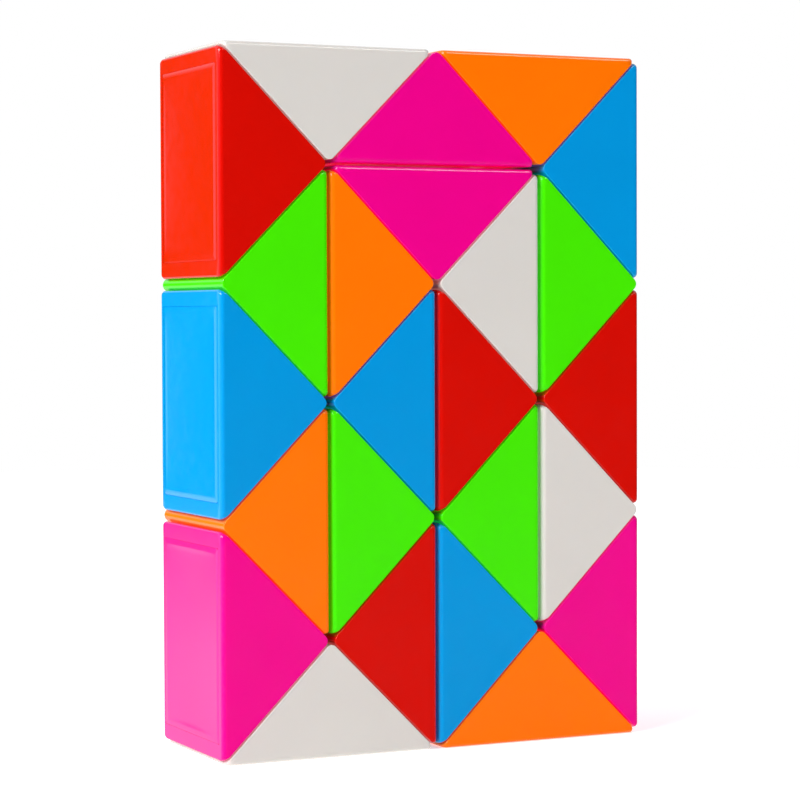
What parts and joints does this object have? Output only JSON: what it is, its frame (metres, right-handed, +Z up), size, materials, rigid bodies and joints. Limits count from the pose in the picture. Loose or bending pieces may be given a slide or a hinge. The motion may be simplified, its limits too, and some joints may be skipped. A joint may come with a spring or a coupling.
{
  "type": "folding snake puzzle",
  "caption": "Chain of hollow plastic wedges in six repeating bright colours, joined by turning spring bolts and folded into a flat upright block.",
  "frame": {"origin": "centre of the block's base, on the surface that it stands on", "axes": "+X to the right and +Y to the back as the block is seen from its front, +Z up along its long side"},
  "size_m": [0.0598, 0.0212, 0.0898],
  "materials": {
    "red_plastic": "glossy",
    "white_plastic": "glossy",
    "magenta_plastic": "glossy",
    "orange_plastic": "glossy",
    "blue_plastic": "glossy",
    "green_plastic": "glossy",
    "spring_steel": "satin"
  },
  "bodies": {
    "wedge_01": {"wedge_01_shell": "green_plastic", "wedge_01_cover": "green_plastic"},
    "wedge_02": {"wedge_02_shell": "red_plastic", "wedge_02_cover": "red_plastic", "wedge_02_pivots": "spring_steel"},
    "wedge_03": {"wedge_03_shell": "white_plastic", "wedge_03_cover": "white_plastic"},
    "wedge_04": {"wedge_04_shell": "magenta_plastic", "wedge_04_cover": "magenta_plastic", "wedge_04_pivots": "spring_steel"},
    "wedge_05": {"wedge_05_shell": "orange_plastic", "wedge_05_cover": "orange_plastic"},
    "wedge_06": {"wedge_06_shell": "blue_plastic", "wedge_06_cover": "blue_plastic", "wedge_06_pivots": "spring_steel"},
    "wedge_07": {"wedge_07_shell": "green_plastic", "wedge_07_cover": "green_plastic"},
    "wedge_08": {"wedge_08_shell": "red_plastic", "wedge_08_cover": "red_plastic", "wedge_08_pivots": "spring_steel"},
    "wedge_09": {"wedge_09_shell": "white_plastic", "wedge_09_cover": "white_plastic"},
    "wedge_10": {"wedge_10_shell": "magenta_plastic", "wedge_10_cover": "magenta_plastic", "wedge_10_pivots": "spring_steel"},
    "wedge_11": {"wedge_11_shell": "orange_plastic", "wedge_11_cover": "orange_plastic"},
    "wedge_12": {"wedge_12_shell": "blue_plastic", "wedge_12_cover": "blue_plastic", "wedge_12_pivots": "spring_steel"},
    "wedge_13": {"wedge_13_shell": "green_plastic", "wedge_13_cover": "green_plastic"},
    "wedge_14": {"wedge_14_shell": "red_plastic", "wedge_14_cover": "red_plastic", "wedge_14_pivots": "spring_steel"},
    "wedge_15": {"wedge_15_shell": "white_plastic", "wedge_15_cover": "white_plastic"},
    "wedge_16": {"wedge_16_shell": "magenta_plastic", "wedge_16_cover": "magenta_plastic", "wedge_16_pivots": "spring_steel"},
    "wedge_17": {"wedge_17_shell": "orange_plastic", "wedge_17_cover": "orange_plastic"},
    "wedge_18": {"wedge_18_shell": "blue_plastic", "wedge_18_cover": "blue_plastic", "wedge_18_pivots": "spring_steel"},
    "wedge_19": {"wedge_19_shell": "green_plastic", "wedge_19_cover": "green_plastic"},
    "wedge_20": {"wedge_20_shell": "red_plastic", "wedge_20_cover": "red_plastic", "wedge_20_pivots": "spring_steel"},
    "wedge_21": {"wedge_21_shell": "white_plastic", "wedge_21_cover": "white_plastic"},
    "wedge_22": {"wedge_22_shell": "magenta_plastic", "wedge_22_cover": "magenta_plastic", "wedge_22_pivots": "spring_steel"},
    "wedge_23": {"wedge_23_shell": "orange_plastic", "wedge_23_cover": "orange_plastic"},
    "wedge_24": {"wedge_24_shell": "blue_plastic", "wedge_24_cover": "blue_plastic", "wedge_24_pivots": "spring_steel"}
  },
  "joints": [
    {"name": "pivot_01", "type": "hinge", "parent": "wedge_02", "child": "wedge_01", "pos_m": [0.0225, 0, 0.05238], "axis": [-0.7071, 0, 0.7071], "range_deg": [-1, 1]},
    {"name": "pivot_02", "type": "hinge", "parent": "wedge_03", "child": "wedge_02", "pos_m": [0.0225, 0, 0.03738], "axis": [0.7071, 0, 0.7071], "range_deg": [-1, 1]},
    {"name": "pivot_03", "type": "hinge", "parent": "wedge_04", "child": "wedge_03", "pos_m": [0.0225, 0, 0.02238], "axis": [-0.7071, 0, 0.7071], "range_deg": [-1, 1]},
    {"name": "pivot_04", "type": "hinge", "parent": "wedge_05", "child": "wedge_04", "pos_m": [0.0225, 0, 0.00738], "axis": [0.7071, 0, 0.7071], "range_deg": [-1, 1]},
    {"name": "pivot_05", "type": "hinge", "parent": "wedge_06", "child": "wedge_05", "pos_m": [0.0075, 0, 0.00738], "axis": [0.7071, 0, -0.7071], "range_deg": [-1, 1]},
    {"name": "pivot_06", "type": "hinge", "parent": "wedge_07", "child": "wedge_06", "pos_m": [0.0075, 0, 0.02238], "axis": [-0.7071, 0, -0.7071], "range_deg": [-1, 1]},
    {"name": "pivot_07", "type": "hinge", "parent": "wedge_08", "child": "wedge_07", "pos_m": [0.0075, 0, 0.03738], "axis": [0.7071, 0, -0.7071], "range_deg": [-1, 1]},
    {"name": "pivot_08", "type": "hinge", "parent": "wedge_09", "child": "wedge_08", "pos_m": [0.0075, 0, 0.05238], "axis": [-0.7071, 0, -0.7071], "range_deg": [-1, 1]},
    {"name": "pivot_09", "type": "hinge", "parent": "wedge_10", "child": "wedge_09", "pos_m": [0.0075, 0, 0.06738], "axis": [0.7071, 0, -0.7071], "range_deg": [-1, 1]},
    {"name": "pivot_10", "type": "hinge", "parent": "wedge_11", "child": "wedge_10", "pos_m": [-0.0075, 0, 0.06738], "axis": [0.7071, 0, 0.7071], "range_deg": [-1, 1]},
    {"name": "pivot_11", "type": "hinge", "parent": "wedge_12", "child": "wedge_11", "pos_m": [-0.0075, 0, 0.05238], "axis": [-0.7071, 0, 0.7071], "range_deg": [-1, 1]},
    {"name": "pivot_12", "type": "hinge", "parent": "wedge_13", "child": "wedge_12", "pos_m": [-0.0075, 0, 0.03738], "axis": [0.7071, 0, 0.7071], "range_deg": [-1, 1]},
    {"name": "pivot_13", "type": "hinge", "parent": "wedge_14", "child": "wedge_13", "pos_m": [-0.0075, 0, 0.02238], "axis": [-0.7071, 0, 0.7071], "range_deg": [-1, 1]},
    {"name": "pivot_14", "type": "hinge", "parent": "wedge_15", "child": "wedge_14", "pos_m": [-0.0075, 0, 0.00738], "axis": [0.7071, 0, 0.7071], "range_deg": [-1, 1]},
    {"name": "pivot_15", "type": "hinge", "parent": "wedge_15", "child": "wedge_16", "pos_m": [-0.0225, 0, 0.00738], "axis": [-0.7071, 0, 0.7071], "range_deg": [-1, 1]},
    {"name": "pivot_16", "type": "hinge", "parent": "wedge_16", "child": "wedge_17", "pos_m": [-0.0225, 0, 0.02238], "axis": [0.7071, 0, 0.7071], "range_deg": [-1, 1]},
    {"name": "pivot_17", "type": "hinge", "parent": "wedge_17", "child": "wedge_18", "pos_m": [-0.0225, 0, 0.03738], "axis": [-0.7071, 0, 0.7071], "range_deg": [-1, 1]},
    {"name": "pivot_18", "type": "hinge", "parent": "wedge_18", "child": "wedge_19", "pos_m": [-0.0225, 0, 0.05238], "axis": [0.7071, 0, 0.7071], "range_deg": [-1, 1]},
    {"name": "pivot_19", "type": "hinge", "parent": "wedge_19", "child": "wedge_20", "pos_m": [-0.0225, 0, 0.06738], "axis": [-0.7071, 0, 0.7071], "range_deg": [-1, 1]},
    {"name": "pivot_20", "type": "hinge", "parent": "wedge_20", "child": "wedge_21", "pos_m": [-0.0225, 0, 0.08238], "axis": [0.7071, 0, 0.7071], "range_deg": [-1, 1]},
    {"name": "pivot_21", "type": "hinge", "parent": "wedge_21", "child": "wedge_22", "pos_m": [-0.0075, 0, 0.08238], "axis": [0.7071, 0, -0.7071], "range_deg": [-1, 1]},
    {"name": "pivot_22", "type": "hinge", "parent": "wedge_22", "child": "wedge_23", "pos_m": [0.0075, 0, 0.08238], "axis": [0.7071, 0, 0.7071], "continuous": true},
    {"name": "pivot_23", "type": "hinge", "parent": "wedge_23", "child": "wedge_24", "pos_m": [0.0225, 0, 0.08238], "axis": [0.7071, 0, -0.7071], "range_deg": [-1, 1]}
  ]
}
